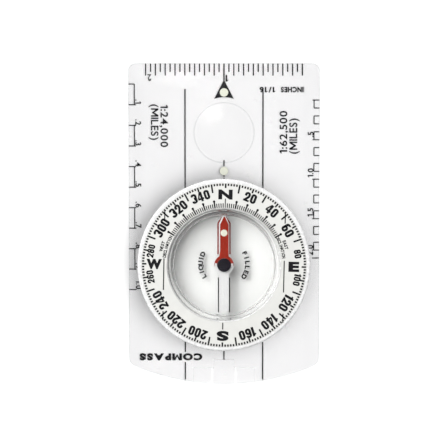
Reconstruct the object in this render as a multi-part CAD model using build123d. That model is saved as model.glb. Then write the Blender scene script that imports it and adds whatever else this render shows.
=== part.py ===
from build123d import *

import math
import os

# Baseplate compass. Millimetres, +Z up, +Y is the direction of travel and +X is to the right of it.
# The origin is the middle of the plate's outline, on the plate's underside.

# Baseplate, one clear moulding with the magnifier in it
PLATE_WIDTH = 62.0
PLATE_LENGTH = 104.5
PLATE_THICKNESS = 2.4
PLATE_TOP_CORNER_R = 2.3
PLATE_BOTTOM_CORNER_R = 2.5
PLATE_BOTTOM_ARC_R = 75.5
BEVEL_WIDTH = 5.2
EDGE_THICKNESS = 1.0
EDGE_CHAMFER = 0.22

# Magnifier
LENS_Y = 29.9
LENS_R = 8.9
LENS_STEP_R = 9.5
LENS_STEP_DEPTH = 0.4
LENS_STEP_SLOPE = 0.45
LENS_TOP_Z = 3.7

# Luminous dots, set in pockets under the plate
DOT_R = 1.37
DOT_DEPTH = 0.8
TRAVEL_DOT_Y = 42.9
INDEX_DOT_Y = 17.4

# Lanyard socket in the bottom edge, T shaped, open to the underside
SOCKET_WIDTH = 20.0
SOCKET_TOP_Y = -47.1
SOCKET_DEPTH = 1.1
STEM_WIDTH = 6.8
STEM_TOP_Y = -44.3
STEM_DEPTH = 1.5
SOCKET_DRAFT = 6.0
TONGUE_SLIT_X = 3.9
TONGUE_SLIT_WIDTH = 0.8

# Dial ring, which turns in the plate on its hub
PIVOT_Y = -12.8
RUNNING_CLEARANCE = 0.08
RING_R = 28.0
RING_TOP_Z = 7.4
RING_WEB_Z = 6.0
RIM_ROUND = 0.6
SKIRT_R = 27.7
SKIRT_INNER_R = 26.2
SKIRT_BOTTOM_Z = 2.5
SKIRT_TOP_Z = 5.5
GRIP_FLUTES = 72
GRIP_FLUTE_R = 0.45
GRIP_FLUTE_DEPTH = 0.2
WINDOW_R = 18.2
HUB_R = 22.0
HUB_BORE_R = 20.7
HUB_BOTTOM_Z = 0.15
DIAL_INNER_R = 18.5
DIAL_OUTER_R = 26.75
DIAL_THICKNESS = 0.35
DIAL_EDGE_GAP = 0.05

# Spring clip that holds the ring's hub in the plate
COUNTERBORE_R = 24.6
COUNTERBORE_DEPTH = 1.4
CLIP_GROOVE_R = 21.5
CLIP_GROOVE_Z = (0.65, 1.25)
CLIP_R = (21.55, 23.6)
CLIP_Z = (0.7, 1.2)
CLIP_GAP_ANGLE = 36.0

# Snap ring that holds the capsule in the hub
RETAINER_R = (19.6, 21.08)
RETAINER_SEAT_R = 21.1
RETAINER_SEAT_TOP_Z = 0.45
RETAINER_Z = (0.15, 0.43)

# Capsule, a sealed cup and cover filled with fluid
CUP_R = 20.55
CUP_INNER_R = 18.3
CUP_BOTTOM_Z = 0.55
CUP_FLOOR_Z = 1.5
CUP_TOP_Z = 5.85
COVER_SEAT_R = 19.05
COVER_SEAT_Z = 4.9
COVER_FLANGE_R = 19.0
COVER_R = 17.9
COVER_INNER_R = 16.6
COVER_ROOF_Z = 7.3
COVER_SHOULDER_Z = 7.95
COVER_TOP_Z = 8.2
COVER_SHOULDER_ROUND = 1.9

# O-ring between capsule and hub, which gives the declination setting its friction
O_RING_Z = 4.2
O_RING_R = 20.33
O_RING_SECTION_R = 0.34
O_RING_GROOVE_R = 19.97
O_RING_GROOVE_HEIGHT = 0.8

# Filling plug in the capsule's wall
PLUG_R = 0.6
PLUG_HEAD_R = 0.95
PLUG_HEAD_LENGTH = 0.5
PLUG_Z = 2.6
PLUG_ANGLE = 215.0

# Pivot
BOSS_R = 1.5
BOSS_TOP_Z = 2.1
PIN_R = 0.4
PIN_BOTTOM_Z = 0.9
PIN_CONE_Z = 3.5
PIN_TIP_Z = 4.45
PIN_TIP_R = 0.05

# Rotor: black hub with the jewel, the ring magnet and the tilt pins
CAP_R = 2.2
CAP_Z = (5.05, 5.75)
CAP_ROUND = 0.25
CAP_DISH_R = 1.1
CAP_DISH_DEPTH = 0.25
NECK_R = 1.55
NECK_BOTTOM_Z = 2.35
SETTING_R = 1.0
SETTING_Z = (2.95, 4.85)
JEWEL_R = 0.7
JEWEL_Z = (3.85, 4.7)
JEWEL_CUP_TOP_Z = 4.48
JEWEL_CUP_MOUTH_R = 0.5
PIN_WELL_R = 0.55
MAGNET_R = (1.55, 3.0)
MAGNET_Z = (2.4, 3.7)
TILT_AXIS_Z = 4.75
TILT_PIN_R = 0.18
TILT_PIN_X = (1.1, 3.05)
TILT_PIN_CLEARANCE = 0.04

# Needle, a thin plate that tilts on the rotor
NEEDLE_Z = (4.3, 4.6)
NEEDLE_HALF_WIDTH = 1.6
NEEDLE_TAIL_HALF_WIDTH = 1.55
NEEDLE_TIP_Y = 16.4
NEEDLE_SHOULDER_Y = 13.3
NEEDLE_TAIL_Y = -15.7
NEEDLE_TAIL_SHOULDER_Y = -14.7
NEEDLE_HUB_R = 3.2
NEEDLE_NECK_R = 2.4
NEEDLE_BORE_R = 1.8
NEEDLE_LUG_X = (2.3, 2.95)
NEEDLE_LUG_HALF_LENGTH = 0.5
NEEDLE_LUG_TOP_Z = 5.0
NEEDLE_DOT_Y = 10.35
NEEDLE_DOT_R = 1.1


def block(x, y, z):
    """A box between two limits on each axis."""
    size = (x[1] - x[0], y[1] - y[0], z[1] - z[0])
    centre = ((x[0] + x[1]) / 2, (y[0] + y[1]) / 2, (z[0] + z[1]) / 2)
    return Pos(*centre) * Box(*size)


def disc(radius, z, at=(0, 0)):
    """An upright cylinder between two heights."""
    return Pos(at[0], at[1], (z[0] + z[1]) / 2) * Cylinder(radius, z[1] - z[0])


def tube(radii, z):
    """An upright ring between an inner and an outer radius."""
    return disc(radii[1], z) - disc(radii[0], z)


def turned(outline, rounds=()):
    """A solid of revolution about Z. The outline is (radius, height) points, some of them rounded."""
    section = make_face(Polyline(*outline, close=True))
    for corner, radius in rounds:
        nearest = section.vertices().sort_by_distance(Vector(*corner, 0))[0]
        section = fillet(nearest, radius)
    return revolve(Plane.XZ * section, Axis.Z)


def x_cylinder(radius, x, z):
    """A cylinder that lies along X."""
    return Pos((x[0] + x[1]) / 2, 0, z) * Rot(0, 90, 0) * Cylinder(radius, x[1] - x[0])


def at_pivot(solid):
    """Carries a piece that was made round the Z axis to the pivot's axis."""
    return Pos(0, PIVOT_Y, 0) * solid


def plate_outline():
    half_width = PLATE_WIDTH / 2
    half_length = PLATE_LENGTH / 2
    arc_centre_y = PLATE_BOTTOM_ARC_R - half_length
    side_end_y = arc_centre_y - math.sqrt(PLATE_BOTTOM_ARC_R**2 - half_width**2)
    top_left = (-half_width, half_length)
    top_right = (half_width, half_length)
    bottom_left = (-half_width, side_end_y)
    bottom_right = (half_width, side_end_y)
    sides = Polyline(bottom_left, top_left, top_right, bottom_right)
    bottom = ThreePointArc(bottom_right, (0, -half_length), bottom_left)
    face = make_face(Curve() + [sides, bottom])
    corners = face.vertices().sort_by(Axis.Y)
    face = fillet(corners[2:], PLATE_TOP_CORNER_R)
    corners = face.vertices().sort_by(Axis.Y)
    return fillet(corners[:2], PLATE_BOTTOM_CORNER_R)


def edge_bevel(run):
    """The wedge that a bevel takes off. It runs along Y, and its thin edge is at x = -BEVEL_WIDTH."""
    section = Polyline(
        (-BEVEL_WIDTH, PLATE_THICKNESS),
        (0, EDGE_THICKNESS),
        (1, EDGE_THICKNESS),
        (1, PLATE_THICKNESS + 1),
        (-BEVEL_WIDTH, PLATE_THICKNESS + 1),
        close=True,
    )
    return Pos(0, run / 2, 0) * extrude(Plane.XZ * make_face(section), run)


def magnifier():
    base_z = PLATE_THICKNESS - LENS_STEP_DEPTH
    rise = LENS_TOP_Z - base_z
    radius = (LENS_R**2 + rise**2) / (2 * rise)
    dome = Pos(0, LENS_Y, LENS_TOP_Z - radius) * Sphere(radius)
    return dome & disc(LENS_R, (base_z - 0.2, LENS_TOP_Z + 1), at=(0, LENS_Y))


def magnifier_step():
    """The sunk ring round the magnifier. Its wall slopes."""
    base_z = PLATE_THICKNESS - LENS_STEP_DEPTH
    top_r = LENS_STEP_R + LENS_STEP_SLOPE
    from_base = (Align.CENTER, Align.CENTER, Align.MIN)
    wall = Cone(LENS_STEP_R, top_r, LENS_STEP_DEPTH, align=from_base)
    sunk = Pos(0, LENS_Y, base_z) * wall
    return sunk + disc(top_r, (PLATE_THICKNESS, PLATE_THICKNESS + 1), at=(0, LENS_Y))


def drafted_pocket(width, low_y, high_y, depth):
    """A pocket in the plate's underside whose walls lean inward as they rise."""
    mouth = Pos(0, (low_y + high_y) / 2) * Rectangle(width, high_y - low_y)
    return extrude(mouth, depth, taper=SOCKET_DRAFT) + extrude(mouth, -1.0)


def lanyard_socket():
    below = -1.0
    edge_y = -PLATE_LENGTH / 2 - 1
    pocket = drafted_pocket(SOCKET_WIDTH, edge_y, SOCKET_TOP_Y, SOCKET_DEPTH)
    stem = drafted_pocket(STEM_WIDTH, SOCKET_TOP_Y - 1.0, STEM_TOP_Y, STEM_DEPTH)
    slits = [
        block(
            (x - TONGUE_SLIT_WIDTH / 2, x + TONGUE_SLIT_WIDTH / 2),
            (edge_y, SOCKET_TOP_Y),
            (below, PLATE_THICKNESS + 1),
        )
        for x in (-TONGUE_SLIT_X, TONGUE_SLIT_X)
    ]
    return pocket + stem + slits


def on_plate_wall(edge):
    """Whether an edge lies in one of the upright faces round the plate, and isn't upright itself."""
    low, high = edge.bounding_box().min, edge.bounding_box().max
    at_side = high.X - low.X < 1e-6 and abs(low.X) > PLATE_WIDTH / 2 - 1e-3
    at_front = high.Y - low.Y < 1e-6 and low.Y > PLATE_LENGTH / 2 - 1e-3
    at_back = high.Z - low.Z < 1e-6 and high.Y < -PLATE_LENGTH / 2 + 10 and high.X - low.X > PLATE_WIDTH / 2
    return at_side or at_front or at_back


def baseplate():
    body = extrude(plate_outline(), PLATE_THICKNESS)
    side = Pos(PLATE_WIDTH / 2, 0, 0) * edge_bevel(PLATE_LENGTH + 20)
    front = Pos(0, PLATE_LENGTH / 2, 0) * Rot(0, 0, 90) * edge_bevel(PLATE_WIDTH + 20)
    body -= [side, mirror(side, Plane.YZ), front]
    top_rim = body.faces().filter_by(lambda f: f.normal_at().Z > 0.9).edges()
    outer = [e for e in top_rim if on_plate_wall(e)]
    body = chamfer(outer, EDGE_CHAMFER)
    body = body - magnifier_step() + magnifier()
    hole = disc(HUB_R + RUNNING_CLEARANCE, (-1, PLATE_THICKNESS + 1), at=(0, PIVOT_Y))
    counterbore = disc(COUNTERBORE_R, (-1, COUNTERBORE_DEPTH), at=(0, PIVOT_Y))
    dots = [disc(DOT_R, (-1, DOT_DEPTH), at=(0, y)) for y in (TRAVEL_DOT_Y, INDEX_DOT_Y)]
    return body - [hole, counterbore, lanyard_socket(), *dots]


def luminous_dot(y):
    return disc(DOT_R, (0.02, DOT_DEPTH), at=(0, y))


def azimuth_ring():
    dial_seat_z = RING_TOP_Z - DIAL_THICKNESS
    lip_z = RING_TOP_Z - 0.12
    body = turned(
        [
            (WINDOW_R, RING_WEB_Z),
            (HUB_BORE_R, RING_WEB_Z),
            (HUB_BORE_R, RETAINER_SEAT_TOP_Z),
            (RETAINER_SEAT_R, RETAINER_SEAT_TOP_Z),
            (RETAINER_SEAT_R, HUB_BOTTOM_Z),
            (HUB_R, HUB_BOTTOM_Z),
            (HUB_R, CLIP_GROOVE_Z[0]),
            (CLIP_GROOVE_R, CLIP_GROOVE_Z[0]),
            (CLIP_GROOVE_R, CLIP_GROOVE_Z[1]),
            (HUB_R, CLIP_GROOVE_Z[1]),
            (HUB_R, RING_WEB_Z),
            (SKIRT_INNER_R, RING_WEB_Z),
            (SKIRT_INNER_R, SKIRT_BOTTOM_Z),
            (SKIRT_R, SKIRT_BOTTOM_Z),
            (SKIRT_R, SKIRT_TOP_Z),
            (RING_R, SKIRT_TOP_Z + 0.2),
            (RING_R, RING_TOP_Z),
            (DIAL_OUTER_R, RING_TOP_Z),
            (DIAL_OUTER_R, dial_seat_z),
            (DIAL_INNER_R, dial_seat_z),
            (DIAL_INNER_R, lip_z),
            (WINDOW_R, lip_z - (DIAL_INNER_R - WINDOW_R)),
        ],
        rounds=[((RING_R, RING_TOP_Z), RIM_ROUND)],
    )
    flute_at = SKIRT_R + GRIP_FLUTE_R - GRIP_FLUTE_DEPTH
    flutes = PolarLocations(flute_at, GRIP_FLUTES) * Cylinder(GRIP_FLUTE_R, SKIRT_TOP_Z - SKIRT_BOTTOM_Z + 1)
    top_of_flutes = SKIRT_TOP_Z - 0.3
    lift = Pos(0, 0, top_of_flutes - (SKIRT_TOP_Z - SKIRT_BOTTOM_Z + 1) / 2)
    return at_pivot(body - [lift * flute for flute in flutes])


def dial_face():
    radii = (DIAL_INNER_R + DIAL_EDGE_GAP, DIAL_OUTER_R - DIAL_EDGE_GAP)
    return at_pivot(tube(radii, (RING_TOP_Z - DIAL_THICKNESS, RING_TOP_Z)))


def ring_retaining_clip():
    """A flat open ring of spring steel, with a hole for pliers in each end."""
    middle = sum(CLIP_R) / 2
    width = CLIP_R[1] - CLIP_R[0]
    half_gap = math.radians(CLIP_GAP_ANGLE / 2)
    reach = CLIP_R[1] + 5
    gap_x = reach * math.sin(half_gap)
    gap_y = -reach * math.cos(half_gap)
    gap = make_face(Polyline((0, 0), (gap_x, gap_y), (-gap_x, gap_y), close=True))
    body = tube(CLIP_R, CLIP_Z) - extrude(gap, CLIP_Z[1] + 1)
    for side in (-1, 1):
        at = (side * middle * math.sin(half_gap), -middle * math.cos(half_gap))
        body += disc(width / 2, CLIP_Z, at=at)
        body -= disc(width / 4, (CLIP_Z[0] - 1, CLIP_Z[1] + 1), at=at)
    return at_pivot(body)


def capsule_retainer():
    return at_pivot(tube(RETAINER_R, RETAINER_Z))


def o_ring_groove():
    half = O_RING_GROOVE_HEIGHT / 2
    return tube((O_RING_GROOVE_R, CUP_R + 1), (O_RING_Z - half, O_RING_Z + half))


def plug_solid(clearance):
    """The filling plug, or with clearance the stepped hole that it is pushed into from outside."""
    inner = CUP_INNER_R - 0.5 if clearance else CUP_INNER_R + 0.1
    outer = CUP_R + 0.5 if clearance else CUP_R - 0.1
    head_start = CUP_R - 0.1 - PLUG_HEAD_LENGTH
    shank = x_cylinder(PLUG_R + clearance, (inner, outer), PLUG_Z)
    head = x_cylinder(PLUG_HEAD_R + clearance, (head_start, outer), PLUG_Z)
    return Rot(0, 0, PLUG_ANGLE) * (shank + head)


def capsule_body():
    body = turned(
        [
            (0, CUP_BOTTOM_Z),
            (CUP_R, CUP_BOTTOM_Z),
            (CUP_R, CUP_TOP_Z),
            (COVER_SEAT_R, CUP_TOP_Z),
            (COVER_SEAT_R, COVER_SEAT_Z),
            (CUP_INNER_R, COVER_SEAT_Z),
            (CUP_INNER_R, CUP_FLOOR_Z),
            (BOSS_R, CUP_FLOOR_Z),
            (BOSS_R, BOSS_TOP_Z),
            (0, BOSS_TOP_Z),
        ],
        rounds=[((CUP_INNER_R, CUP_FLOOR_Z), 0.5), ((CUP_R, CUP_BOTTOM_Z), 0.2)],
    )
    pin_hole = disc(PIN_R, (PIN_BOTTOM_Z, BOSS_TOP_Z + 1))
    return at_pivot(body - o_ring_groove() - plug_solid(0.01) - pin_hole)


def capsule_cover():
    flange_bottom = COVER_SEAT_Z + 0.01
    body = turned(
        [
            (0, flange_bottom),
            (COVER_FLANGE_R, flange_bottom),
            (COVER_FLANGE_R, CUP_TOP_Z),
            (COVER_R, CUP_TOP_Z),
            (COVER_R, COVER_SHOULDER_Z),
            (0, COVER_SHOULDER_Z),
        ],
        rounds=[((COVER_R, COVER_SHOULDER_Z), COVER_SHOULDER_ROUND)],
    )
    crown_r = COVER_R - COVER_SHOULDER_ROUND
    crown_rise = COVER_TOP_Z - COVER_SHOULDER_Z
    crown_radius = (crown_r**2 + crown_rise**2) / (2 * crown_rise)
    crown = Pos(0, 0, COVER_TOP_Z - crown_radius) * Sphere(crown_radius)
    crown &= disc(crown_r, (COVER_SHOULDER_Z - 0.1, COVER_TOP_Z + 1))
    hollow = turned(
        [
            (0, flange_bottom - 1),
            (COVER_INNER_R, flange_bottom - 1),
            (COVER_INNER_R, COVER_ROOF_Z),
            (0, COVER_ROOF_Z),
        ],
        rounds=[((COVER_INNER_R, COVER_ROOF_Z), 0.8)],
    )
    return at_pivot(body + crown - hollow)


def declination_o_ring():
    return at_pivot(Pos(0, 0, O_RING_Z) * Torus(O_RING_R, O_RING_SECTION_R))


def fill_plug():
    return at_pivot(plug_solid(0))


def pivot_pin():
    outline = [
        (0, PIN_BOTTOM_Z),
        (PIN_R, PIN_BOTTOM_Z),
        (PIN_R, PIN_CONE_Z),
        (PIN_TIP_R, PIN_TIP_Z),
        (0, PIN_TIP_Z),
    ]
    return at_pivot(turned(outline))


def jewel_bearing():
    """The cup rides on the pin's tip. Its cone is wider than the pin's."""
    outline = [
        (0, JEWEL_Z[1]),
        (JEWEL_R, JEWEL_Z[1]),
        (JEWEL_R, JEWEL_Z[0]),
        (JEWEL_CUP_MOUTH_R, JEWEL_Z[0]),
        (PIN_TIP_R + 0.05, JEWEL_CUP_TOP_Z),
        (0, JEWEL_CUP_TOP_Z),
    ]
    return at_pivot(turned(outline))


def jewel_setting():
    """A brass bush that holds the jewel, with a shoulder under it and a closed top."""
    outline = [
        (0, SETTING_Z[1]),
        (SETTING_R, SETTING_Z[1]),
        (SETTING_R, SETTING_Z[0]),
        (PIN_WELL_R, SETTING_Z[0]),
        (PIN_WELL_R, JEWEL_Z[0]),
        (JEWEL_R, JEWEL_Z[0]),
        (JEWEL_R, JEWEL_Z[1]),
        (0, JEWEL_Z[1]),
    ]
    return at_pivot(turned(outline))


def rotor_hub():
    dish_z = CAP_Z[1] - CAP_DISH_DEPTH
    body = turned(
        [
            (0, SETTING_Z[1]),
            (SETTING_R, SETTING_Z[1]),
            (SETTING_R, NECK_BOTTOM_Z),
            (NECK_R, NECK_BOTTOM_Z),
            (NECK_R, CAP_Z[0]),
            (CAP_R, CAP_Z[0]),
            (CAP_R, CAP_Z[1]),
            (CAP_DISH_R, CAP_Z[1]),
            (CAP_DISH_R, dish_z),
            (0, dish_z),
        ],
        rounds=[((CAP_R, CAP_Z[1]), CAP_ROUND)],
    )
    return at_pivot(body - both_sides(x_cylinder(TILT_PIN_R, TILT_PIN_X, TILT_AXIS_Z)))


def both_sides(solid):
    return [solid, mirror(solid, Plane.YZ)]


def ring_magnet():
    return at_pivot(tube(MAGNET_R, MAGNET_Z))


def tilt_pins():
    pins = both_sides(x_cylinder(TILT_PIN_R, TILT_PIN_X, TILT_AXIS_Z))
    return at_pivot(Compound(children=pins))


def needle_outline():
    """The plate seen from above: pointed north half, plain south half, round hub with flared necks."""
    half = NEEDLE_HALF_WIDTH
    tail = NEEDLE_TAIL_HALF_WIDTH
    point = 0.3
    blade = Polyline(
        (half, 0),
        (half, NEEDLE_SHOULDER_Y),
        (point, NEEDLE_TIP_Y),
        (-point, NEEDLE_TIP_Y),
        (-half, NEEDLE_SHOULDER_Y),
        (-half, 0),
        (-tail, 0),
        (-tail, NEEDLE_TAIL_SHOULDER_Y),
        (-tail + 0.9, NEEDLE_TAIL_Y),
        (tail - 0.9, NEEDLE_TAIL_Y),
        (tail, NEEDLE_TAIL_SHOULDER_Y),
        (tail, 0),
        close=True,
    )
    face = make_face(blade) + Circle(NEEDLE_HUB_R)
    necks = [v for v in face.vertices() if abs(Vector(v.X, v.Y).length - NEEDLE_HUB_R) < 0.01]
    return fillet(necks, NEEDLE_NECK_R)


def needle():
    plate = Pos(0, 0, NEEDLE_Z[0]) * extrude(needle_outline(), NEEDLE_Z[1] - NEEDLE_Z[0])
    half = NEEDLE_LUG_HALF_LENGTH
    plate += both_sides(block(NEEDLE_LUG_X, (-half, half), (NEEDLE_Z[0], NEEDLE_LUG_TOP_Z)))
    plate -= disc(NEEDLE_BORE_R, (NEEDLE_Z[0] - 1, NEEDLE_LUG_TOP_Z + 1))
    plate -= disc(NEEDLE_DOT_R, (NEEDLE_Z[0] - 1, NEEDLE_Z[1] + 1), at=(0, NEEDLE_DOT_Y))
    bearing = x_cylinder(TILT_PIN_R + TILT_PIN_CLEARANCE, (1, 4), TILT_AXIS_Z)
    return at_pivot(plate - both_sides(bearing))


def needle_dot():
    return at_pivot(disc(NEEDLE_DOT_R, NEEDLE_Z, at=(0, NEEDLE_DOT_Y)))


PARTS = {
    "baseplate": baseplate(),
    "travel_arrow_dot": luminous_dot(TRAVEL_DOT_Y),
    "index_line_dot": luminous_dot(INDEX_DOT_Y),
    "azimuth_ring": azimuth_ring(),
    "dial_face": dial_face(),
    "ring_retaining_clip": ring_retaining_clip(),
    "capsule_retainer": capsule_retainer(),
    "capsule_body": capsule_body(),
    "capsule_cover": capsule_cover(),
    "declination_o_ring": declination_o_ring(),
    "fill_plug": fill_plug(),
    "pivot_pin": pivot_pin(),
    "jewel_bearing": jewel_bearing(),
    "jewel_setting": jewel_setting(),
    "rotor_hub": rotor_hub(),
    "ring_magnet": ring_magnet(),
    "tilt_pins": tilt_pins(),
    "needle": needle(),
    "needle_dot": needle_dot(),
}

os.makedirs("parts", exist_ok=True)
for name, solid in PARTS.items():
    export_step(solid, f"parts/{name}.step")
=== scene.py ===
import math

import bmesh
import bpy
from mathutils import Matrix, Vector
from mathutils.geometry import tessellate_polygon


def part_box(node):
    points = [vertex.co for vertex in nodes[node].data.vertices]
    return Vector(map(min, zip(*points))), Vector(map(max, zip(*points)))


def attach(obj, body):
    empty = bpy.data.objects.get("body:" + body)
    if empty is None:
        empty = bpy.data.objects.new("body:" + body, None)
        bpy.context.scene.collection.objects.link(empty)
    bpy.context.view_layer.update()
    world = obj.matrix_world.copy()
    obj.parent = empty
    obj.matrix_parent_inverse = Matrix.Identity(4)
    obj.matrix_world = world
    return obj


# Baseplate compass. Drawing helpers take millimetres and meshes are made in metres.
# Azimuths are degrees clockwise from the direction of travel, +Y, as on the dial.

MM = 0.001

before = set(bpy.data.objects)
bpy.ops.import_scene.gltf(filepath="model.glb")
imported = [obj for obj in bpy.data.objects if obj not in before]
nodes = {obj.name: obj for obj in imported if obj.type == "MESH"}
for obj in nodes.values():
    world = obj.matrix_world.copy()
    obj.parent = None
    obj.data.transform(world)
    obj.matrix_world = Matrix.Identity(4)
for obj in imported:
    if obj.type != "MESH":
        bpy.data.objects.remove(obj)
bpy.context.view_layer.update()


def box_mm(node):
    low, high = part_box(node)
    return low / MM, high / MM


PLATE_LOW, PLATE_HIGH = box_mm("baseplate")
DIAL_LOW, DIAL_HIGH = box_mm("dial_face")
PIVOT_Y = (DIAL_LOW.y + DIAL_HIGH.y) / 2
TRAVEL_DOT_LOW, TRAVEL_DOT_HIGH = box_mm("travel_arrow_dot")
TRAVEL_DOT = (TRAVEL_DOT_LOW + TRAVEL_DOT_HIGH) / 2
LUME_R = (TRAVEL_DOT_HIGH.x - TRAVEL_DOT_LOW.x) / 2
NEEDLE_DOT_LOW, NEEDLE_DOT_HIGH = box_mm("needle_dot")
NEEDLE_DOT = (NEEDLE_DOT_LOW + NEEDLE_DOT_HIGH) / 2
NEEDLE_DOT_R = (NEEDLE_DOT_HIGH.x - NEEDLE_DOT_LOW.x) / 2
NEEDLE_TOP_Z = NEEDLE_DOT_HIGH.z
CAPSULE_FLOOR_Z = 1.5


# ---------------------------------------------------------------- materials


def new_material(name):
    mat = bpy.data.materials.new(name)
    mat.use_nodes = True
    return mat, mat.node_tree, mat.node_tree.nodes["Principled BSDF"]


def add(tree, kind, **settings):
    node = tree.nodes.new(kind)
    for key, value in settings.items():
        if key.startswith("in_"):
            node.inputs[key[3:].replace("_", " ")].default_value = value
        else:
            setattr(node, key, value)
    return node


def noise(tree, size_mm, stretch=(1, 1, 1)):
    """Noise over the piece's own coordinates, with grains about size_mm across."""
    coords = add(tree, "ShaderNodeTexCoord")
    mapping = add(tree, "ShaderNodeMapping")
    mapping.inputs["Scale"].default_value = stretch
    tree.links.new(coords.outputs["Object"], mapping.inputs["Vector"])
    scale = 1 / (size_mm * MM)
    tex = add(tree, "ShaderNodeTexNoise", in_Scale=scale, in_Detail=3.0, in_Roughness=0.55)
    tree.links.new(mapping.outputs["Vector"], tex.inputs["Vector"])
    return tex.outputs["Fac"]


def spread(tree, value, low, high, from_low=0.3, from_high=0.7):
    node = add(tree, "ShaderNodeMapRange")
    ends = {"From Min": from_low, "From Max": from_high, "To Min": low, "To Max": high}
    for key, number in ends.items():
        node.inputs[key].default_value = number
    tree.links.new(value, node.inputs["Value"])
    return node.outputs["Result"]


def tint(tree, value, dark, light):
    ramp = add(tree, "ShaderNodeValToRGB")
    ramp.color_ramp.elements[0].position = 0.3
    ramp.color_ramp.elements[1].position = 0.7
    ramp.color_ramp.elements[0].color = (*dark, 1)
    ramp.color_ramp.elements[1].color = (*light, 1)
    tree.links.new(value, ramp.inputs["Fac"])
    return ramp.outputs["Color"]


def bump(tree, shader, layers):
    """layers: (height output, depth in mm), from the coarsest to the finest."""
    normal = None
    for height, depth in layers:
        node = add(tree, "ShaderNodeBump", in_Strength=1.0, in_Distance=depth * MM)
        tree.links.new(height, node.inputs["Height"])
        if normal:
            tree.links.new(normal, node.inputs["Normal"])
        normal = node.outputs["Normal"]
    tree.links.new(normal, shader.inputs["Normal"])


def solid(name, dark, light, rough, mottle_mm, bumps, metallic=0.0, specular=0.5, stretch=(1, 1, 1)):
    """An opaque material: mottled colour, uneven gloss and a fine surface."""
    mat, tree, shader = new_material(name)
    shader.inputs["Metallic"].default_value = metallic
    shader.inputs["Specular IOR Level"].default_value = specular
    mottle = noise(tree, mottle_mm, stretch=stretch)
    tree.links.new(tint(tree, mottle, dark, light), shader.inputs["Base Color"])
    gloss = noise(tree, mottle_mm * 0.4, stretch=stretch)
    tree.links.new(spread(tree, gloss, *rough), shader.inputs["Roughness"])
    bump(tree, shader, [(noise(tree, size, stretch=stretch), depth) for size, depth in bumps])
    return mat


def slope(tree, gentle, steep):
    """How far the surface leans: 0 up to the angle gentle, and 1 from the angle steep on."""
    coords = add(tree, "ShaderNodeTexCoord")
    parts = add(tree, "ShaderNodeSeparateXYZ")
    tree.links.new(coords.outputs["Normal"], parts.inputs["Vector"])
    upright = add(tree, "ShaderNodeMath", operation="ABSOLUTE")
    tree.links.new(parts.outputs["Z"], upright.inputs[0])
    ends = [math.cos(math.radians(angle)) for angle in (gentle, steep)]
    return spread(tree, upright.outputs[0], 0, 1, *ends)


def clear(name, colour, rough, waves, ior=1.49, edge=None):
    """Clear plastic that lets light through to what lies under it.

    Steep walls and edges get the edge colour. This is a painted shade that stands in for the light sloping
    plastic bends away from what lies under it.
    """
    mat, tree, shader = new_material(name)
    shader.inputs["Base Color"].default_value = (*colour, 1)
    if edge:
        # Painted shade: faces blend from the plastic's colour to the edge colour as they steepen
        ramp = add(tree, "ShaderNodeValToRGB")
        ramp.color_ramp.elements[0].color = (*colour, 1)
        ramp.color_ramp.elements[1].color = (*edge, 1)
        tree.links.new(slope(tree, 4, 50), ramp.inputs["Fac"])
        tree.links.new(ramp.outputs["Color"], shader.inputs["Base Color"])
    shader.inputs["Transmission Weight"].default_value = 1.0
    shader.inputs["IOR"].default_value = ior
    tree.links.new(spread(tree, noise(tree, 6.0), *rough), shader.inputs["Roughness"])
    bump(tree, shader, [(noise(tree, size), depth) for size, depth in waves])
    see_through = add(tree, "ShaderNodeBsdfTransparent")
    see_through.inputs["Color"].default_value = (*colour, 1)
    path = add(tree, "ShaderNodeLightPath")
    mix = add(tree, "ShaderNodeMixShader")
    tree.links.new(path.outputs["Is Shadow Ray"], mix.inputs[0])
    tree.links.new(shader.outputs["BSDF"], mix.inputs[1])
    tree.links.new(see_through.outputs["BSDF"], mix.inputs[2])
    tree.links.new(mix.outputs["Shader"], tree.nodes["Material Output"].inputs["Surface"])
    return mat


# The plate's edge colour is painted shade on its bevels, lens rim and other sloping faces
clear_acrylic = clear(
    "clear_acrylic", (0.996, 0.995, 0.997), (0.01, 0.05), [(14.0, 0.004), (0.9, 0.0004)],
    edge=(0.58, 0.59, 0.595),
)
clear_capsule = clear(
    "clear_capsule", (0.996, 0.997, 0.995), (0.005, 0.03), [(9.0, 0.003), (0.7, 0.0003)],
)

ring_plastic, tree, shader = new_material("ring_plastic")
shader.inputs["Transmission Weight"].default_value = 0.2
shader.inputs["IOR"].default_value = 1.5
milky = tint(tree, noise(tree, 5.0), (0.80, 0.80, 0.80), (0.86, 0.86, 0.86))
tree.links.new(milky, shader.inputs["Base Color"])
tree.links.new(spread(tree, noise(tree, 1.5), 0.2, 0.32), shader.inputs["Roughness"])
bump(tree, shader, [(noise(tree, 4.0), 0.006), (noise(tree, 0.25), 0.0012)])
damping_fluid = clear("damping_fluid", (0.995, 0.995, 0.99), (0.0, 0.01), [(8.0, 0.0005)], ior=1.44)

dial_white = solid(
    "dial_white", (0.58, 0.58, 0.56), (0.62, 0.62, 0.595), (0.35, 0.5), 4.0, [(0.35, 0.0025), (0.06, 0.001)],
)
needle_white = solid(
    "needle_white", (0.64, 0.64, 0.65), (0.70, 0.70, 0.70), (0.3, 0.45), 1.5, [(0.2, 0.002)],
)
luminous_paint = solid(
    "luminous_paint", (0.62, 0.64, 0.53), (0.73, 0.74, 0.64), (0.6, 0.85), 0.25, [(0.5, 0.02), (0.12, 0.012)],
)
black_ink = solid(
    "black_ink", (0.004, 0.004, 0.005), (0.010, 0.010, 0.012), (0.45, 0.6), 0.6, [(0.08, 0.0015)],
    specular=0.15,
)
red_ink = solid(
    "red_ink", (0.22, 0.013, 0.005), (0.28, 0.020, 0.008), (0.35, 0.5), 0.6, [(0.1, 0.0015)],
    specular=0.15,
)
black_plastic = solid(
    "black_plastic", (0.004, 0.003, 0.006), (0.009, 0.007, 0.012), (0.3, 0.42), 0.8, [(0.15, 0.004)],
    specular=0.18,
)
spring_steel = solid(
    "spring_steel", (0.50, 0.50, 0.51), (0.66, 0.66, 0.67), (0.22, 0.38), 2.0, [(0.3, 0.002)],
    metallic=1.0,
)
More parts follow.
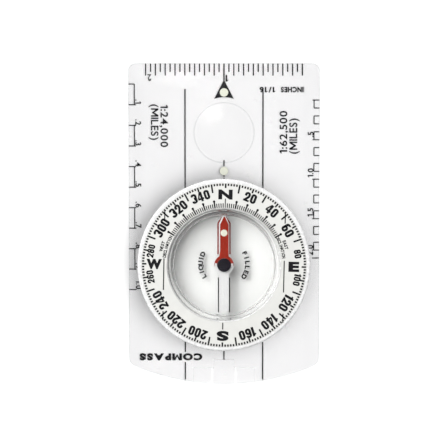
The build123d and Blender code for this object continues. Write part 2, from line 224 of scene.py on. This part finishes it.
hard_steel = solid(
    "hard_steel", (0.55, 0.55, 0.57), (0.72, 0.72, 0.74), (0.15, 0.3), 0.4, [(0.05, 0.001)],
    metallic=1.0, stretch=(1, 1, 0.2),
)
brass = solid(
    "brass", (0.62, 0.42, 0.16), (0.80, 0.60, 0.28), (0.2, 0.35), 0.5, [(0.08, 0.002)],
    metallic=1.0, stretch=(0.3, 0.3, 1),
)
magnet_metal = solid(
    "magnet_metal", (0.10, 0.10, 0.11), (0.20, 0.20, 0.21), (0.45, 0.65), 0.3, [(0.12, 0.006)],
    metallic=0.8,
)
black_rubber = solid(
    "black_rubber", (0.012, 0.012, 0.012), (0.03, 0.03, 0.03), (0.6, 0.85), 0.4, [(0.1, 0.006)],
)
retainer_plastic = solid(
    "retainer_plastic", (0.78, 0.78, 0.76), (0.86, 0.86, 0.84), (0.35, 0.5), 3.0, [(0.3, 0.003)],
)
plug_plastic = solid(
    "plug_plastic", (0.74, 0.74, 0.71), (0.84, 0.84, 0.81), (0.35, 0.55), 0.8, [(0.2, 0.003)],
)
sapphire = clear("sapphire", (0.80, 0.45, 0.55), (0.01, 0.04), [(0.4, 0.0005)], ior=1.77)

NODE_MATERIALS = {
    "baseplate": clear_acrylic,
    "travel_arrow_dot": luminous_paint,
    "index_line_dot": luminous_paint,
    "azimuth_ring": ring_plastic,
    "dial_face": dial_white,
    "ring_retaining_clip": spring_steel,
    "capsule_retainer": retainer_plastic,
    "capsule_body": clear_capsule,
    "capsule_cover": clear_capsule,
    "declination_o_ring": black_rubber,
    "fill_plug": plug_plastic,
    "pivot_pin": hard_steel,
    "tilt_pins": hard_steel,
    "jewel_bearing": sapphire,
    "jewel_setting": brass,
    "rotor_hub": black_plastic,
    "ring_magnet": magnet_metal,
    "needle": needle_white,
    "needle_dot": luminous_paint,
}
for node_name, mat in NODE_MATERIALS.items():
    mesh = nodes[node_name].data
    for index in range(len(mesh.materials)):
        mesh.materials[index] = mat
    if not mesh.materials:
        mesh.materials.append(mat)


# ---------------------------------------------------------------- printing

CAP_HEIGHT = 0.68
LETTER_CACHE = {}


def polar(radius, azimuth):
    """A point round the dial's pivot."""
    angle = math.radians(azimuth)
    return radius * math.sin(angle), PIVOT_Y + radius * math.cos(angle)


def turned(points, degrees, about=(0, 0)):
    """Points turned clockwise about a point."""
    angle = math.radians(-degrees)
    cos, sin = math.cos(angle), math.sin(angle)
    ox, oy = about
    out = []
    for x, y in points:
        dx, dy = x - ox, y - oy
        out.append((ox + dx * cos - dy * sin, oy + dx * sin + dy * cos))
    return out


def circle(radius, centre, count=40):
    step = 2 * math.pi / count
    cx, cy = centre
    return [(cx + radius * math.cos(i * step), cy + radius * math.sin(i * step)) for i in range(count)]


def rounded(path, radius, closed=False, steps=5):
    """A path with its corners turned into arcs."""
    count = len(path)
    out = []
    for i, corner in enumerate(path):
        if not closed and i in (0, count - 1):
            out.append(corner)
            continue
        here = Vector(corner)
        before, after = Vector(path[i - 1]) - here, Vector(path[(i + 1) % count]) - here
        before_way, after_way = before.normalized(), after.normalized()
        half = before.angle(after) / 2
        cut = min(radius / math.tan(half), before.length * 0.499, after.length * 0.499)
        centre = here + (before_way + after_way).normalized() * cut / math.cos(half)
        start, end = here + before_way * cut - centre, here + after_way * cut - centre
        sweep = start.angle(end)
        for k in range(steps + 1):
            a, b = math.sin(sweep * (1 - k / steps)), math.sin(sweep * k / steps)
            point = centre + (start * a + end * b) / math.sin(sweep)
            out.append((point.x, point.y))
    return out


def offset_path(path, distance, closed=False):
    """The path moved sideways, to the left for a positive distance."""
    count = len(path)
    out = []
    for i, point in enumerate(path):
        here = Vector(point)
        before = Vector(path[i - 1]) if closed or i else None
        after = Vector(path[(i + 1) % count]) if closed or i < count - 1 else None
        sides = []
        if before is not None and (here - before).length > 1e-9:
            sides.append((here - before).normalized())
        if after is not None and (after - here).length > 1e-9:
            sides.append((after - here).normalized())
        along = sum(sides, Vector((0, 0))).normalized()
        stretch = 1 / max(0.5, along.dot(sides[0]))
        out.append((here.x - along.y * distance * stretch, here.y + along.x * distance * stretch))
    return out


def stroke(path, width, closed=False):
    """The outlines of a line of constant width along a path."""
    left = offset_path(path, width / 2, closed)
    right = offset_path(path, -width / 2, closed)
    return [left, right] if closed else [left + right[::-1]]


def heavy_digit(digit):
    """Outlines of a heavy, narrow numeral one unit tall: a list of shapes, each an outline and its holes."""
    w, s = 0.31, 0.22
    r = w / 2
    low, high, mid = s / 2, 1 - s / 2, 0.5
    left, right = s / 2, s / 2 + w
    if digit == "0":
        return [stroke(rounded([(left, low), (right, low), (right, high), (left, high)], r, True), s, True)]
    if digit == "1":
        flag = [(0.0, 0.68), (0.0, 0.84), (0.12, 0.89), (0.15, 1.0)]
        stem = [(0.33, 1.0), (0.33, 0.0), (0.10, 0.0), (0.10, 0.70)]
        return [[flag + stem]]
    if digit == "2":
        bend = rounded([(left, 0.56), (left, high), (right, high), (right, 0.56), (left + 0.02, 0.12)], r)
        wide, thick = right + s / 2, s * 0.9
        return [stroke(bend, s), [[(0.0, 0.0), (wide, 0.0), (wide, thick), (0.0, thick)]]]
    if digit == "3":
        waist = (left + 0.12, mid)
        upper = rounded([(left, 0.72), (left, high), (right, high), (right, mid), waist], r * 0.9)
        lower = rounded([waist, (right, mid), (right, low), (left, low), (left, 0.28)], r * 0.9)
        return [stroke(upper, s), stroke(lower, s)]
    if digit == "4":
        outline = [
            (0.21, 1.0), (0.46, 1.0), (0.46, 0.37), (0.55, 0.37), (0.55, 0.18), (0.46, 0.18),
            (0.46, 0.0), (0.24, 0.0), (0.24, 0.18), (-0.02, 0.18), (-0.02, 0.38),
        ]
        return [[outline, [(0.24, 0.37), (0.24, 0.70), (0.13, 0.37)]]]
    if digit == "6":
        bowl = rounded([(left, low), (right, low), (right, 0.56), (left, 0.56)], r * 0.95, True)
        back = rounded([(left, 0.34), (left, high), (right, high), (right, 0.72)], r)
        return [stroke(bowl, s, True), stroke(back, s)]
    if digit == "8":
        bowl = rounded([(left, low), (right, low), (right, 0.53), (left, 0.53)], r * 0.95, True)
        head = rounded([(left, 0.51), (right, 0.51), (right, high), (left, high)], r * 0.95, True)
        return [stroke(bowl, s, True), stroke(head, s, True)]
    raise ValueError(digit)


def drawn_letter(char, weight):
    """The outline of a 1 or an M, with y from 0 to 1."""
    if char == "1":
        stem = 0.14 + (0.10 + 2 * weight)
        return [(0, 0.72), (0, 0.84), (0.14, 1), (stem, 1), (stem, 0), (0.14, 0), (0.14, 0.80)]
    leg = 0.09 + 2 * weight
    wide = 0.72 + 2 * weight
    slant = 1.2 * leg
    return [
        (0, 0), (0, 1), (slant, 1), (wide / 2, 0.44), (wide - slant, 1), (wide, 1),
        (wide, 0), (wide - leg, 0), (wide - leg, 0.62), (wide / 2, 0.1), (leg, 0.62), (leg, 0),
    ]


def letter(char, weight):
    """Flat mesh of one character: its points, from x = 0 on the baseline y = 0, and its faces."""
    if (char, weight) in LETTER_CACHE:
        return LETTER_CACHE[char, weight]
    if char in "1M":
        tall = CAP_HEIGHT + 2 * weight
        points = [(x, y * tall - weight) for x, y in drawn_letter(char, weight)]
        faces = [list(f) for f in tessellate_polygon([[Vector((x, y, 0)) for x, y in points]])]
    else:
        curve = bpy.data.curves.new("text", "FONT")
        curve.body = char
        curve.offset = weight
        curve.resolution_u = 5
        holder = bpy.data.objects.new("text", curve)
        bpy.context.scene.collection.objects.link(holder)
        bpy.context.view_layer.update()
        depsgraph = bpy.context.evaluated_depsgraph_get()
        mesh = bpy.data.meshes.new_from_object(holder.evaluated_get(depsgraph))
        bpy.data.objects.remove(holder)
        bpy.data.curves.remove(curve)
        shape = bmesh.new()
        shape.from_mesh(mesh)
        bpy.data.meshes.remove(mesh)
        bmesh.ops.remove_doubles(shape, verts=shape.verts, dist=1e-5)
        shape.verts.ensure_lookup_table()
        points = [(v.co.x, v.co.y) for v in shape.verts]
        faces = [[v.index for v in f.verts] for f in shape.faces]
        shape.free()
        start = min(x for x, y in points)
        points = [(x - start, y) for x, y in points]
    LETTER_CACHE[char, weight] = points, faces
    return points, faces


def typeset(text, weight, gap):
    """A line of text as one flat mesh, its letters a gap apart."""
    all_points, all_faces, x = [], [], 0.0
    for char in text:
        if char == " ":
            x += 0.22
            continue
        points, faces = letter(char, weight)
        base = len(all_points)
        all_points += [(px + x, py) for px, py in points]
        all_faces += [[i + base for i in face] for face in faces]
        x += max(px for px, py in points) + gap
    return all_points, all_faces


def extent(points):
    xs = [p[0] for p in points]
    ys = [p[1] for p in points]
    return min(xs), max(xs), min(ys), max(ys)


class Print:
    """One layer of ink: flat shapes of one thickness, joined into one piece that rides on a body."""

    def __init__(self, name, body, z, mat, slot):
        self.name, self.body, self.z, self.mat, self.slot = name, body, z, mat, slot
        self.mesh = bmesh.new()

    def solid(self, points, faces):
        """Thickens flat faces into a closed solid."""
        if not faces:
            return
        area = 0
        for face in faces:
            for i, a in enumerate(face):
                b = face[(i + 1) % len(face)]
                area += points[a][0] * points[b][1] - points[b][0] * points[a][1]
        if area < 0:
            faces = [face[::-1] for face in faces]
        layers = []
        for z in self.z:
            layers.append([self.mesh.verts.new((x * MM, y * MM, z * MM)) for x, y in points])
        bottom, top = layers
        directed = set()
        for face in faces:
            for i, a in enumerate(face):
                directed.add((a, face[(i + 1) % len(face)]))
        for face in faces:
            self.mesh.faces.new([top[i] for i in face])
            self.mesh.faces.new([bottom[i] for i in reversed(face)])
        for a, b in directed:
            if (b, a) not in directed:
                self.mesh.faces.new([bottom[a], bottom[b], top[b], top[a]])

    def shape(self, *loops):
        """An outline, and the outlines of the holes in it."""
        flat = [[Vector((x, y, 0)) for x, y in loop] for loop in loops]
        points = [p for loop in loops for p in loop]
        faces = [list(t) for t in tessellate_polygon(flat)]
        fixed = []
        for a, b, c in faces:
            (ax, ay), (bx, by), (cx, cy) = points[a], points[b], points[c]
            turn = (bx - ax) * (cy - ay) - (by - ay) * (cx - ax)
            fixed.append([a, b, c] if turn > 0 else [a, c, b])
        self.solid(points, fixed)

    def line(self, start, end, width):
        (x0, y0), (x1, y1) = start, end
        length = math.hypot(x1 - x0, y1 - y0)
        nx, ny = -(y1 - y0) / length * width / 2, (x1 - x0) / length * width / 2
        self.shape([(x0 + nx, y0 + ny), (x0 - nx, y0 - ny), (x1 - nx, y1 - ny), (x1 + nx, y1 + ny)])

    def text(self, text, centre, height, turn=0, width=None, stretch=1.0, weight=0.0, gap=0.09, tall="E"):
        """Text centred on a point and turned clockwise. height is that of a capital or digit."""
        points, faces = typeset(text, weight, gap)
        x0, x1, y0, y1 = extent(points)
        low, high = extent(letter(tall, weight)[0])[2:]
        up = height / (high - low)
        across = width / (x1 - x0) if width else up * stretch
        placed = [
            (centre[0] + (x - (x0 + x1) / 2) * across, centre[1] + (y - (low + high) / 2) * up)
            for x, y in points
        ]
        self.solid(turned(placed, turn, centre), faces)

    def numeral(self, text, centre, height, width, turn):
        """A number in heavy, narrow numerals, its digits a little apart."""
        gap = 0.06
        shapes, x = [], 0.0
        for digit in text:
            outlines = heavy_digit(digit)
            xs = [px for shape in outlines for loop in shape for px, py in loop]
            shift = x - min(xs)
            for shape in outlines:
                shapes.append([[(px + shift, py) for px, py in loop] for loop in shape])
            x += max(xs) - min(xs) + gap
        total = x - gap
        for shape in shapes:
            loops = []
            for loop in shape:
                flat = []
                for px, py in loop:
                    flat.append((centre[0] + (px / total - 0.5) * width, centre[1] + (py - 0.5) * height))
                loops.append(turned(flat, turn, centre))
            self.shape(*loops)

    def finish(self):
        mesh = bpy.data.meshes.new(self.name)
        bmesh.ops.recalc_face_normals(self.mesh, faces=self.mesh.faces)
        self.mesh.to_mesh(mesh)
        self.mesh.free()
        mesh.materials.append(self.mat)
        piece = bpy.data.objects.new(self.name, mesh)
        bpy.context.scene.collection.objects.link(piece)
        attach(piece, self.body)
        return piece


LINE = 0.4
PLATE_INK = (0.015, 0.045)
DIAL_INK = (DIAL_HIGH.z - 0.01, DIAL_HIGH.z + 0.02)
FLOOR_INK = (CAPSULE_FLOOR_Z - 0.01, CAPSULE_FLOOR_Z + 0.02)
NEEDLE_INK = (NEEDLE_TOP_Z - 0.01, NEEDLE_TOP_Z + 0.02)
HOLE_EDGE_R = 24.8

# Direction of travel: the arrow, the index lines and the two long guide lines

travel = Print("travel_arrow_and_lines", "plate", PLATE_INK, black_ink, "black_ink")
ARROW_TIP_Y = 47.0
ARROW_HALF = 3.2
ARROW_BASE_Y = 40.8
ARROW_HOLLOW = 0.55
arrow = [(0, ARROW_TIP_Y), (-ARROW_HALF, ARROW_BASE_Y)]
for i in range(1, 12):
    x = -ARROW_HALF + 2 * ARROW_HALF * i / 12
    arrow.append((x, ARROW_BASE_Y + ARROW_HOLLOW * (1 - (x / ARROW_HALF) ** 2)))
arrow.append((ARROW_HALF, ARROW_BASE_Y))
travel.shape(arrow, circle(LUME_R, (0, TRAVEL_DOT.y)))
travel.line((0, PLATE_HIGH.y - 0.1), (0, ARROW_TIP_Y - 0.3), LINE)
for start_y, end_y in ((21.0, 19.0), (16.0, 15.55), (15.15, 14.4), (-41.3, -44.3)):
    travel.line((0, start_y), (0, end_y), LINE)
GUIDE_X = 12.65
hole_y = math.sqrt(HOLE_EDGE_R ** 2 - GUIDE_X ** 2)
for side in (-1, 1):
    travel.line((side * GUIDE_X, 44.0), (side * GUIDE_X, PIVOT_Y + hole_y), LINE)
travel.line((-GUIDE_X, PIVOT_Y - hole_y), (-GUIDE_X, -42.0), LINE)
travel.line((-GUIDE_X, -45.3), (-GUIDE_X, -51.0), LINE)
travel.line((GUIDE_X, PIVOT_Y - hole_y), (GUIDE_X, -51.0), LINE)
travel.finish()

# Two-inch rule along the front edge, to be read from the front

INCH = 25.4
inches = Print("inch_scale", "plate", PLATE_INK, black_ink, "black_ink")
for i in range(-16, 17):
    x = i * INCH / 16
    length = 4.1 if i % 2 == 0 else 2.9
    inches.line((x, PLATE_HIGH.y - 0.05), (x, PLATE_HIGH.y - length), LINE)
inches.text("2", (-24.2, 47.6), 2.0, turn=180, weight=0.02, stretch=0.95, tall="2")
inches.text("1", (0.95, 47.4), 2.0, turn=180, weight=0.06, stretch=0.95, tall="1")
inches.text("INCHES", (22.1, 43.8), 1.75, turn=180, width=7.3, weight=0.04)
inches.text("1/16", (14.1, 43.8), 1.75, turn=180, width=5.1, weight=0.04, gap=0.14, tall="1")
inches.finish()

# Map scales along the two long edges

MILE_24 = 1609344 / 24000
left = Print("scale_24000", "plate", PLATE_INK, black_ink, "black_ink")
TOP_24 = 45.6
LEFT_LINE = 0.32
BAR_X = -28.96
for i in range(11):
    y = TOP_24 - i * MILE_24 / 10
    left.line((PLATE_LOW.x + 0.2, y), (-28.4 if i else BAR_X, y), LEFT_LINE)
    if i % 2 == 0 and i < 10:
        left.line((BAR_X, y), (BAR_X, y - MILE_24 / 10), LEFT_LINE)
    if i:
        label = "1.0" if i == 10 else "." + str(i)
        left.text(label, (-27.7, y + (1.6 if i == 10 else 1.05)), 1.95, turn=90, weight=0.02, tall="0")
left.text("1:24,000", (-19.4, 32.0), 2.45, turn=90, width=13.7, weight=0.015, tall="0")
left.text("(MILES)", (-22.5, 33.25), 2.4, turn=90, width=11.6, weight=0.015)
left.finish()

MILE_62 = 1609344 / 62500
right = Print("scale_62500", "plate", PLATE_INK, black_ink, "black_ink")
TOP_62 = 40.4
RIGHT_LINE = 0.31
for i in range(21):
    y = TOP_62 - i * MILE_62 / 10
    start = 28.6 if i % 5 == 0 else 29.1
    right.line((start, y), (PLATE_HIGH.x - 0.1, y), RIGHT_LINE)
    if i % 2 == 0 and i < 20:
        right.line((29.1, y), (29.1, y - MILE_62 / 10), RIGHT_LINE)
for label, miles, lift in ((".5", 0.5, 1.7), ("1.0", 1.0, 2.1), ("1.5", 1.5, 2.1), ("2.0", 2.0, 2.6)):
    right.text(label, (28.0, TOP_62 - miles * MILE_62 + lift), 1.95, turn=-90, weight=0.02, tall="0")
right.text("1:62,500", (19.3, 30.0), 2.5, turn=-90, width=13.8, weight=0.015, tall="0")
right.text("(MILES)", (22.5, 28.7), 2.55, turn=-90, width=11.5, weight=0.015)
right.finish()

# A plain word at the back edge

word = Print("word_compass", "plate", PLATE_INK, black_ink, "black_ink")
word.text("COMPASS", (-17.3, -43.6), 2.3, turn=180, width=20.4, weight=0.07)
word.finish()

# Dial: degrees round the outside, declination round the inside

# The dial is set this far clockwise of the direction of travel
DIAL_TURN = 1.2
dial = Print("dial_degrees", "dial_ring", DIAL_INK, black_ink, "black_ink")
TICK_OUTER_R = 26.55
TICK_WIDTH = 0.54
LABEL_R = 23.5
SMALL_LABEL_R = 24.1
LETTER_WEIGHT = {"N": 0.055, "E": 0.06, "S": 0.06, "W": 0.07}
for azimuth in range(0, 360, 2):
    if azimuth % 20 == 0 or azimuth in (90, 270):
        length = 1.45
    elif azimuth % 10 == 0:
        length = 2.8
    else:
        length = 0.75
    angle = azimuth + DIAL_TURN
    dial.line(polar(TICK_OUTER_R, angle), polar(TICK_OUTER_R - length, angle), TICK_WIDTH)
LETTERS = {0: ("N", 4.6, 3.2), 90: ("E", 3.5, 3.3), 180: ("S", 3.9, 3.3), 270: ("W", 5.0, 3.3)}
for azimuth, (char, width, height) in LETTERS.items():
    angle = azimuth + DIAL_TURN
    upright = azimuth in (90, 270)
    at, turn = (polar(22.6, angle), DIAL_TURN) if upright else (polar(23.0, angle), angle)
    dial.text(char, at, height, turn=turn, width=width, weight=LETTER_WEIGHT[char], tall=char)
SMALL = (80, 100, 260, 280)
for azimuth in range(20, 360, 20):
    text = str(azimuth)
    thin = 0.3 if text[0] == "1" else 0.0
    angle = azimuth + DIAL_TURN
    if azimuth == 180:
        continue
    if azimuth in SMALL:
        dial.numeral(text, polar(SMALL_LABEL_R, angle), 2.3, 1.4 * len(text) - thin, angle)
    else:
        dial.numeral(text, polar(LABEL_R, angle), 3.15, 2.02 * len(text) - 2 * thin, angle)
dial.finish()

declination = Print("declination_scale", "dial_ring", DIAL_INK, black_ink, "black_ink")
SCALE_INNER_R = 18.7
for degrees in range(-60, 61, 2):
    angle = degrees + DIAL_TURN
    if degrees == 0:
        declination.line(polar(SCALE_INNER_R, angle), polar(21.7, angle), 0.3)
    elif degrees % 10 == 0:
        declination.line(polar(SCALE_INNER_R, angle), polar(20.8, angle), 0.5)
        declination.shape(circle(0.4, polar(20.95, angle), 14))
    else:
        declination.line(polar(SCALE_INNER_R, angle), polar(20.15, angle), 0.34)
declination.line(polar(SCALE_INNER_R, 180 + DIAL_TURN), polar(20.9, 180 + DIAL_TURN), 0.36)
CHORD_X = 19.45
for side in (-1, 1):
    for high, low in ((17.6, 14.0), (1.9, -8.4), (-15.3, -18.3)):
        x = side * CHORD_X
        ends = turned([(x, PIVOT_Y + high), (x, PIVOT_Y + low)], DIAL_TURN, (0, PIVOT_Y))
        declination.line(*ends, 0.36)


def arc_text(layer, text, radius, middle, height, pitch, weight=0.0, stretch=1.0):
    """Letters set one by one round the pivot, their tops outward."""
    for i, char in enumerate(text):
        angle = middle + (i - (len(text) - 1) / 2) * pitch
        layer.text(char, polar(radius, angle), height, turn=angle, weight=weight, stretch=stretch)


for text, middle in (("WEST", 287.5), ("EAST", 71.3)):
    arc_text(declination, text, 20.95, middle, 1.1, 2.1, weight=0.05, stretch=0.85)
    arc_text(declination, "DECLINATION", 19.5, middle + 1.0, 1.1, 1.95, weight=0.05, stretch=0.78)
declination.finish()

# Capsule floor: orienting arrow, its tail lines and two plain words

orienting = Print("orienting_arrow", "capsule", FLOOR_INK, red_ink, "red_ink")
HOUSE_HALF = 2.15
HOUSE_LINE = 0.45
outer = [(-HOUSE_HALF, 3.2), (-HOUSE_HALF, 13.4), (0, 16.7), (HOUSE_HALF, 13.4), (HOUSE_HALF, 3.2)]
inset = HOUSE_HALF - HOUSE_LINE
inner = [(inset, 3.2), (inset, 13.2), (0, 15.8), (-inset, 13.2), (-inset, 3.2)]
orienting.shape([(x, PIVOT_Y + y) for x, y in outer + inner])
orienting.finish()

capsule_lines = Print("capsule_lines", "capsule", FLOOR_INK, black_ink, "black_ink")
for side in (-1, 1):
    capsule_lines.line((side * 1.8, PIVOT_Y - 4.3), (side * 1.8, PIVOT_Y - 15.7), LINE)
arc_text(capsule_lines, "LIQUID", 7.6, 267, 1.6, 11.4, weight=0.06, stretch=1.1)
arc_text(capsule_lines, "FILLED", 7.6, 92, 1.6, 12.0, weight=0.06, stretch=1.1)
capsule_lines.finish()

# Needle: the red of its north half

north = Print("needle_red", "needle", NEEDLE_INK, red_ink, "red_ink")
RED_HALF = 1.38
RED_SHIFT = 0.12
HUB_R = 3.15
BORE_R = 1.9
outline = []
for i in range(0, 13):
    angle = math.radians(-8 + i * (8 + 60) / 12)
    outline.append((HUB_R * math.cos(angle), HUB_R * math.sin(angle)))
outline += [(RED_HALF, 4.6), (RED_HALF, 13.1), (0.1, 15.8)]
outline += [(-x, y) for x, y in reversed(outline)]
inner_arc = []
for i in range(0, 25):
    angle = math.radians(188 - i * 196 / 24)
    inner_arc.append((BORE_R * math.cos(angle), BORE_R * math.sin(angle)))
outline += inner_arc
red = [(x + (RED_SHIFT if y > 4 else 0), PIVOT_Y + y) for x, y in outline]
north.shape(red, circle(NEEDLE_DOT_R, (0, NEEDLE_DOT.y)))
north.finish()


# ---------------------------------------------------------------- damping fluid


def revolved(name, outline, body, mat, steps=128):
    """A closed solid of revolution about the pivot. outline: (radius, z), from the axis and back to it."""
    mesh_data = bmesh.new()
    rings = []
    for radius, z in outline:
        if radius == 0:
            rings.append([mesh_data.verts.new((0, PIVOT_Y * MM, z * MM))])
            continue
        ring = []
        for i in range(steps):
            angle = 2 * math.pi * i / steps
            x, y = radius * math.cos(angle), PIVOT_Y + radius * math.sin(angle)
            ring.append(mesh_data.verts.new((x * MM, y * MM, z * MM)))
        rings.append(ring)
    for low, high in zip(rings, rings[1:]):
        for i in range(steps):
            j = (i + 1) % steps
            if len(low) == 1:
                mesh_data.faces.new([low[0], high[j], high[i]])
            elif len(high) == 1:
                mesh_data.faces.new([low[i], low[j], high[0]])
            else:
                mesh_data.faces.new([low[i], low[j], high[j], high[i]])
    bmesh.ops.recalc_face_normals(mesh_data, faces=mesh_data.faces)
    mesh = bpy.data.meshes.new(name)
    mesh_data.to_mesh(mesh)
    mesh_data.free()
    mesh.shade_smooth()
    mesh.set_sharp_from_angle(angle=math.radians(30))
    mesh.materials.append(mat)
    piece = bpy.data.objects.new(name, mesh)
    bpy.context.scene.collection.objects.link(piece)
    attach(piece, body)
    return piece


# The fluid stands clear of the walls by this much, because surfaces that overlap draw dark rings
GAP = 0.05
FLUID_BASE_Z = CAPSULE_FLOOR_Z + GAP
CUP_R, CUP_TOP_Z = 18.3 - GAP, 4.91 - GAP
COVER_R, COVER_TOP_Z = 16.6 - GAP, 7.3 - GAP
FLUID = [
    (0, FLUID_BASE_Z), (CUP_R, FLUID_BASE_Z), (CUP_R, CUP_TOP_Z),
    (COVER_R, CUP_TOP_Z), (COVER_R, COVER_TOP_Z), (0, COVER_TOP_Z),
]
revolved("damping_fluid", FLUID, "capsule", damping_fluid)


# ---------------------------------------------------------------- studio


FLOOR_HALF = 1500
FLOOR_Z = -0.2
SEAM_R = 23


def floor_piece(name, mat, outline, hole=None):
    """A flat piece of the floor, with or without a round hole in it."""
    loops = [outline] + ([hole] if hole else [])
    points = [p for loop in loops for p in loop]
    faces = tessellate_polygon([[Vector((x, y, 0)) for x, y in loop] for loop in loops])
    mesh = bpy.data.meshes.new(name)
    mesh.from_pydata([(x * MM, y * MM, FLOOR_Z * MM) for x, y in points], [], [tuple(f) for f in faces])
    mesh.materials.append(mat)
    obj = bpy.data.objects.new(name, mesh)
    scene.collection.objects.link(obj)
    return obj


scene = bpy.context.scene
# Two papers: the darker one lies under the capsule, inside the seam. It is painted shade that deepens the
# shadow seen through the window.
paper = solid(
    "floor_paper", (0.95, 0.95, 0.95), (0.96, 0.96, 0.96), (0.88, 0.92), 30.0, [(0.5, 0.004)],
    specular=0.2,
)
# Painted shade: grey paper under the capsule, darker than the floor round it
painted_shade_paper = solid(
    "painted_shade_paper", (0.69, 0.69, 0.695), (0.70, 0.70, 0.705), (0.88, 0.92), 30.0, [(0.5, 0.004)],
    specular=0.2,
)
seam = circle(SEAM_R, (0, PIVOT_Y), 96)
square = [(x * FLOOR_HALF, y * FLOOR_HALF) for x, y in ((-1, -1), (1, -1), (1, 1), (-1, 1))]
floor_around = floor_piece("floor", paper, square, seam)
floor_inside = floor_piece("floor_under_capsule", painted_shade_paper, seam)


def softbox(name, azimuth, elevation, distance, size, watts, mirrored=True):
    """A square area light that faces the dial's pivot. Shiny surfaces mirror it unless mirrored is false."""
    target = Vector((0, PIVOT_Y * MM, 0))
    a, e = math.radians(azimuth), math.radians(elevation)
    toward = Vector((math.sin(a) * math.cos(e), math.cos(a) * math.cos(e), math.sin(e)))
    light = bpy.data.lights.new(name, "AREA")
    light.shape = "SQUARE"
    light.size = size
    light.energy = watts
    light.cycles.use_multiple_importance_sampling = False
    obj = bpy.data.objects.new(name, light)
    obj.visible_glossy = mirrored
    obj.location = target + toward * distance
    obj.rotation_euler = toward.to_track_quat("Z", "Y").to_euler()
    scene.collection.objects.link(obj)
    return obj


def linked(light, use, objects, state):
    """Sets the light's receivers or blockers: these objects (INCLUDE), or all but these (EXCLUDE)."""
    group = bpy.data.collections.new(light.name + "_" + use)
    for obj in objects:
        group.objects.link(obj)
    for entry in group.collection_objects:
        entry.light_linking.link_state = state
    setattr(light.light_linking, use + "_collection", group)


key = softbox("key_light", 320, 48, 0.9, 0.8, 11.0)
linked(key, "receiver", [floor_around], "EXCLUDE")
window_key = softbox("window_key_light", 292, 42, 0.9, 0.8, 9.0, mirrored=False)
linked(window_key, "receiver", [floor_inside], "INCLUDE")
table = softbox("table_light", 95, 55, 0.9, 0.8, 3.0)
linked(table, "receiver", [floor_around], "INCLUDE")
fill = softbox("table_fill", 0, 90, 1.0, 2.2, 7.2, mirrored=False)
linked(fill, "receiver", [floor_around], "INCLUDE")
linked(fill, "blocker", [nodes["dial_face"], nodes["azimuth_ring"]], "EXCLUDE")
softbox("ceiling", 0, 90, 1.0, 2.2, 13.0, mirrored=False)

world = bpy.data.worlds.new("studio")
scene.world = world
world.use_nodes = True
sky = world.node_tree.nodes["Background"]
sky.inputs["Color"].default_value = (1, 1, 1, 1)
# Pale walls all round, dark overhead where the camera hangs, and even dim light for matt surfaces
tree = world.node_tree
coords = add(tree, "ShaderNodeTexCoord")
parts = add(tree, "ShaderNodeSeparateXYZ")
tree.links.new(coords.outputs["Generated"], parts.inputs["Vector"])
walls = spread(tree, parts.outputs["Z"], 0.95, 0.02, 0.35, 0.9)
path = add(tree, "ShaderNodeLightPath")
strength = add(tree, "ShaderNodeMix", data_type="FLOAT")
tree.links.new(path.outputs["Is Diffuse Ray"], strength.inputs["Factor"])
tree.links.new(walls, strength.inputs["A"])
strength.inputs["B"].default_value = 0.15
tree.links.new(strength.outputs["Result"], sky.inputs["Strength"])
world.cycles.sampling_method = "NONE"
scene.cycles.caustics_reflective = False
scene.cycles.caustics_refractive = False
scene.cycles.max_bounces = 32
scene.cycles.glossy_bounces = 24
scene.cycles.transmission_bounces = 24
scene.cycles.transparent_max_bounces = 32

scene.view_settings.view_transform = "Standard"
scene.view_settings.look = "None"

CAMERA_LENS = 186
camera_data = bpy.data.cameras.new("camera")
camera_data.sensor_width = 36
camera_data.lens = CAMERA_LENS
camera = bpy.data.objects.new("camera", camera_data)
CAMERA_TILT = math.radians(5)
CAMERA_DISTANCE = 0.755
camera.location = (0, CAMERA_DISTANCE * math.sin(CAMERA_TILT), CAMERA_DISTANCE * math.cos(CAMERA_TILT))
camera.rotation_euler = (-CAMERA_TILT, 0, 0)
scene.collection.objects.link(camera)
scene.camera = camera
